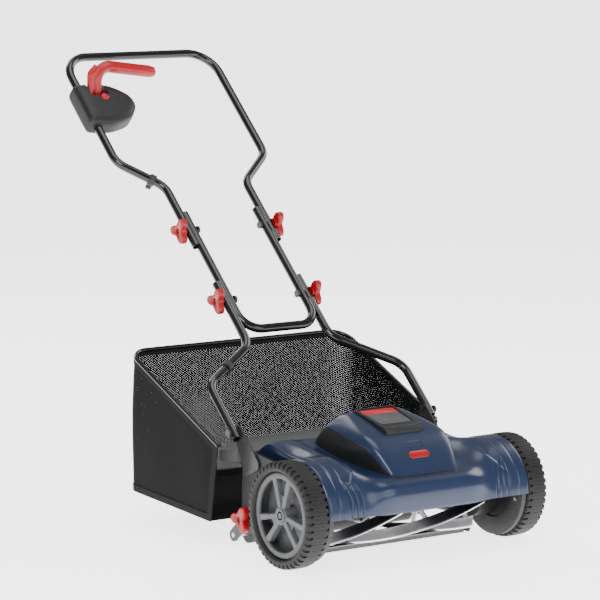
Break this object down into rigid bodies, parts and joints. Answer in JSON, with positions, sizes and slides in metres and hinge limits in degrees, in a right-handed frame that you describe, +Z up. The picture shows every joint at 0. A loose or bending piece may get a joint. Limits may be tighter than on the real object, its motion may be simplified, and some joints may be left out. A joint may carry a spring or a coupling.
{
  "type": "reel mower",
  "caption": "Cordless push reel mower with helical cutting reel, lift-out battery, two lugged wheels, rear roller, folding tubular handle with bail switch, and a rear grass bag.",
  "frame": {"origin": "on the ground, midway between the two wheels, straight below their axles", "axes": "+Z up; +Y back towards the handle, so the mower cuts towards -Y; +X along the wheel axles"},
  "size_m": [0.602, 1.1045, 0.9732],
  "materials": {
    "blue_body": "glossy moulded navy blue",
    "dark_body": "fine moulded grain, charcoal",
    "grey_plastic": "satin mid grey moulding",
    "black_plastic": "satin black moulding",
    "circuit_board": "coated board",
    "zinc_steel": "turned and zinc plated",
    "blade_steel": "ground steel, brighter along the edge",
    "black_steel": "gloss black powder coat",
    "motor_steel": "rolled and varnished",
    "drive_rubber": "moulded rubber",
    "tyre_tread": "matt black, lugged",
    "red_plastic": "satin moulded red",
    "bag_fabric": "coated black weave with an open mesh back"
  },
  "bodies": {
    "chassis": {"deck_housing": "blue_body", "hood_base": "dark_body", "hood_cover": "blue_body", "control_board": "circuit_board", "side_plate_right": "dark_body", "side_plate_left": "dark_body", "case_screws": "zinc_steel", "wheel_axles": "zinc_steel", "reel_bearings": "zinc_steel", "drive_belt": "drive_rubber", "motor_can": "motor_steel", "bedknife": "blade_steel", "bed_bar": "black_steel", "pivot_brackets": "black_steel", "pivot_bolts": "zinc_steel", "deflector": "grey_plastic"},
    "wheel_left": {"tyre_left": "tyre_tread", "rim_left": "grey_plastic", "wheel_bushes_left": "black_plastic", "hub_cap_left": "grey_plastic"},
    "wheel_right": {"tyre_right": "tyre_tread", "rim_right": "grey_plastic", "wheel_bushes_right": "black_plastic", "hub_cap_right": "grey_plastic"},
    "reel": {"reel_shaft": "zinc_steel", "reel_spiders": "black_steel", "reel_blades": "blade_steel", "reel_pulley": "black_plastic"},
    "motor_rotor": {"motor_shaft": "zinc_steel", "rotor_core": "motor_steel", "motor_pulley": "black_plastic"},
    "roller_carriage": {"roller_arms": "black_steel", "roller_rod": "zinc_steel", "height_bolts": "zinc_steel"},
    "rear_roller": {"roller": "black_plastic"},
    "height_knob_left": {"height_knob_left": "red_plastic"},
    "height_knob_right": {"height_knob_right": "red_plastic"},
    "lower_handle": {"lower_tube_left": "black_steel", "lower_tube_right": "black_steel", "lower_cable_clip": "dark_body"},
    "middle_handle": {"middle_frame": "black_steel", "joint_bolts": "zinc_steel"},
    "upper_handle": {"upper_handle": "black_steel", "switch_box_front": "dark_body", "switch_box_back": "dark_body", "switch_module": "black_plastic", "bail_pin": "zinc_steel", "upper_cable_clip": "dark_body"},
    "lower_knob_left": {"lower_knob_left": "red_plastic"},
    "lower_knob_right": {"lower_knob_right": "red_plastic"},
    "upper_knob_left": {"upper_knob_left": "red_plastic"},
    "upper_knob_right": {"upper_knob_right": "red_plastic"},
    "bail": {"bail_lever": "red_plastic"},
    "safety_button": {"safety_button": "red_plastic"},
    "battery": {"battery_pack": "dark_body"},
    "battery_latch": {"battery_latch": "red_plastic"},
    "grass_catcher": {"bag_wire": "black_steel", "grass_bag": "bag_fabric"}
  },
  "joints": [
    {"name": "wheel_left_spin", "type": "hinge", "parent": "chassis", "child": "wheel_left", "pos_m": [-0.276, 0, 0.108], "axis": [1, 0, 0], "continuous": true},
    {"name": "wheel_right_spin", "type": "hinge", "parent": "chassis", "child": "wheel_right", "pos_m": [0.276, 0, 0.108], "axis": [1, 0, 0], "continuous": true},
    {"name": "reel_spin", "type": "hinge", "parent": "chassis", "child": "reel", "pos_m": [0, 0.019, 0.0855], "axis": [1, 0, 0], "continuous": true},
    {"name": "motor_spin", "type": "hinge", "parent": "chassis", "child": "motor_rotor", "pos_m": [0, 0.07, 0.168], "axis": [1, 0, 0], "continuous": true},
    {"name": "cutting_height", "type": "slide", "parent": "chassis", "child": "roller_carriage", "axis": [0, 0, 1], "range_m": [-0.02, 0]},
    {"name": "roller_spin", "type": "hinge", "parent": "roller_carriage", "child": "rear_roller", "pos_m": [0, 0.245, 0.021], "axis": [1, 0, 0], "continuous": true},
    {"name": "height_knob_left_turn", "type": "hinge", "parent": "roller_carriage", "child": "height_knob_left", "pos_m": [-0.25, 0.2, 0.063], "axis": [1, 0, 0], "continuous": true},
    {"name": "height_knob_right_turn", "type": "hinge", "parent": "roller_carriage", "child": "height_knob_right", "pos_m": [0.25, 0.2, 0.063], "axis": [1, 0, 0], "continuous": true},
    {"name": "handle_tilt", "type": "hinge", "parent": "chassis", "child": "lower_handle", "pos_m": [0, 0.228, 0.236], "axis": [1, 0, 0], "range_deg": [0, 20]},
    {"name": "lower_fold", "type": "hinge", "parent": "lower_handle", "child": "middle_handle", "pos_m": [0, 0.47237, 0.47182], "axis": [1, 0, 0], "range_deg": [0, 45]},
    {"name": "upper_fold", "type": "hinge", "parent": "middle_handle", "child": "upper_handle", "pos_m": [0, 0.61319, 0.60772], "axis": [1, 0, 0], "range_deg": [0, 115]},
    {"name": "lower_knob_left_turn", "type": "hinge", "parent": "middle_handle", "child": "lower_knob_left", "pos_m": [-0.1153, 0.47237, 0.47182], "axis": [1, 0, 0], "continuous": true},
    {"name": "lower_knob_right_turn", "type": "hinge", "parent": "middle_handle", "child": "lower_knob_right", "pos_m": [0.1153, 0.47237, 0.47182], "axis": [1, 0, 0], "continuous": true},
    {"name": "upper_knob_left_turn", "type": "hinge", "parent": "middle_handle", "child": "upper_knob_left", "pos_m": [-0.1153, 0.61319, 0.60772], "axis": [1, 0, 0], "continuous": true},
    {"name": "upper_knob_right_turn", "type": "hinge", "parent": "middle_handle", "child": "upper_knob_right", "pos_m": [0.1153, 0.61319, 0.60772], "axis": [1, 0, 0], "continuous": true},
    {"name": "bail_squeeze", "type": "hinge", "parent": "upper_handle", "child": "bail", "pos_m": [0, 0.89145, 0.87624], "axis": [-1, 0, 0], "range_deg": [0, 35], "stiffness_Nm_per_rad": 0.4, "springref_deg": -17.19},
    {"name": "safety_button_press", "type": "slide", "parent": "upper_handle", "child": "safety_button", "axis": [0, 0.6944, -0.7196], "range_m": [0, 0.003], "stiffness_N_per_m": 200, "springref_m": -0.001},
    {"name": "battery_lift", "type": "slide", "parent": "chassis", "child": "battery", "axis": [0, -0.2351, 0.972], "range_m": [0, 0.06]},
    {"name": "battery_latch_press", "type": "slide", "parent": "chassis", "child": "battery_latch", "axis": [0, 0, -1], "range_m": [0, 0.003], "stiffness_N_per_m": 400, "springref_m": -0.001},
    {"name": "catcher_unhook", "type": "slide", "parent": "chassis", "child": "grass_catcher", "axis": [0, 1, 0], "range_m": [0, 0.35]}
  ],
  "couplings": [
    {"joint": "motor_spin", "follows": "reel_spin", "ratio": 4.4444}
  ]
}
